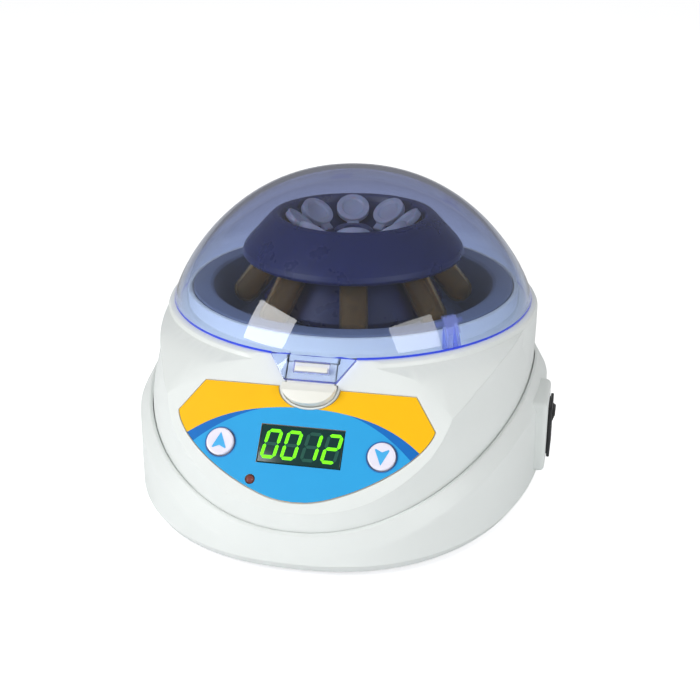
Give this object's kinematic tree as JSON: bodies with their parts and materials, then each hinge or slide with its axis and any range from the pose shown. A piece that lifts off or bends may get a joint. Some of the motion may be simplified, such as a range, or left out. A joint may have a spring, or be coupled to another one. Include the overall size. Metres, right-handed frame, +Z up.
{
  "type": "mini centrifuge",
  "caption": "Bench-top mini centrifuge with a hinged clear dome, an angled tube rotor, a latch, a timer panel and a rocker power switch.",
  "frame": {"origin": "centre of the bounding box's bottom face, on the bench", "axes": "+Z up along the rotor's axis, the control panel faces -Y and the power switch +X"},
  "size_m": [0.1657, 0.197, 0.1172],
  "materials": {
    "white_abs": "satin moulded",
    "warm_white_abs": "satin moulded",
    "grey_abs": "satin moulded",
    "black_abs": "satin moulded",
    "navy_abs": "satin moulded",
    "clear_blue_polycarbonate": "clear, blue tint",
    "smoked_acrylic": "smoked, polished",
    "printed_film": "printed film",
    "black_rubber": "moulded",
    "steel": "ground",
    "zinc_plated_steel": "zinc plated",
    "copper_winding": "enamelled winding",
    "green_board": "solder mask",
    "amber_polypropylene": "translucent moulded",
    "frosted_polypropylene": "frosted moulded",
    "white_button_abs": "satin moulded",
    "red_lamp_epoxy": "tinted epoxy"
  },
  "bodies": {
    "housing": {"upper_housing": "white_abs", "lower_housing": "white_abs", "base_plate": "grey_abs", "chamber_bowl": "grey_abs", "hinge_pin": "steel", "latch_pin": "steel", "control_label": "printed_film", "display_window": "smoked_acrylic", "display_module": "black_abs", "control_board": "green_board", "status_lamp": "red_lamp_epoxy", "interlock_switch": "black_abs", "switch_body": "black_abs", "power_inlet": "black_abs", "supply_board": "green_board", "transformer_core": "zinc_plated_steel", "motor_can": "steel", "motor_end_cap": "zinc_plated_steel", "lower_bearing": "steel", "upper_bearing": "steel", "motor_plate": "zinc_plated_steel", "motor_screw_1": "zinc_plated_steel", "motor_screw_2": "zinc_plated_steel", "rubber_foot_1": "black_rubber", "rubber_mount_1": "black_rubber", "base_screw_1": "zinc_plated_steel", "rubber_foot_2": "black_rubber", "rubber_mount_2": "black_rubber", "base_screw_2": "zinc_plated_steel", "rubber_foot_3": "black_rubber", "rubber_mount_3": "black_rubber", "base_screw_3": "zinc_plated_steel", "rubber_foot_4": "black_rubber", "rubber_mount_4": "black_rubber", "base_screw_4": "zinc_plated_steel"},
    "lid": {"lid_dome": "clear_blue_polycarbonate"},
    "rotor": {"rotor_body": "navy_abs", "rotor_nut": "navy_abs", "motor_shaft": "steel", "motor_armature": "copper_winding", "tube_1": "amber_polypropylene", "tube_2": "amber_polypropylene", "tube_3": "amber_polypropylene", "tube_4": "amber_polypropylene", "tube_5": "amber_polypropylene", "tube_6": "amber_polypropylene", "tube_7": "amber_polypropylene", "tube_8": "amber_polypropylene", "tube_cap_1": "frosted_polypropylene", "tube_cap_2": "frosted_polypropylene", "tube_cap_3": "frosted_polypropylene", "tube_cap_4": "frosted_polypropylene", "tube_cap_5": "frosted_polypropylene", "tube_cap_6": "frosted_polypropylene", "tube_cap_7": "frosted_polypropylene", "tube_cap_8": "frosted_polypropylene"},
    "latch": {"latch_lever": "warm_white_abs"},
    "up_key": {"up_button": "white_button_abs"},
    "down_key": {"down_button": "white_button_abs"},
    "rocker": {"power_rocker": "black_abs"}
  },
  "joints": [
    {"name": "lid_hinge", "type": "hinge", "parent": "housing", "child": "lid", "pos_m": [-0.00236, 0.0935, 0.064], "axis": [-1, 0, 0], "range_deg": [0, 80]},
    {"name": "rotor_spin", "type": "hinge", "parent": "housing", "child": "rotor", "pos_m": [-0.00236, 0.0133, 0.08], "axis": [0, 0, 1], "continuous": true},
    {"name": "latch_pivot", "type": "hinge", "parent": "housing", "child": "latch", "pos_m": [-0.00236, -0.06689, 0.04684], "axis": [-1, 0, 0], "range_deg": [0, 7], "stiffness_Nm_per_rad": 0.5},
    {"name": "up_key_press", "type": "slide", "parent": "housing", "child": "up_key", "axis": [0, 0.7431, -0.6691], "range_m": [0, 0.0007], "stiffness_N_per_m": 500},
    {"name": "down_key_press", "type": "slide", "parent": "housing", "child": "down_key", "axis": [0, 0.7431, -0.6691], "range_m": [0, 0.0007], "stiffness_N_per_m": 500},
    {"name": "rocker_tilt", "type": "hinge", "parent": "housing", "child": "rocker", "pos_m": [0.07864, -0.0067, 0.024], "axis": [0, -1, 0], "range_deg": [0, 20]}
  ]
}
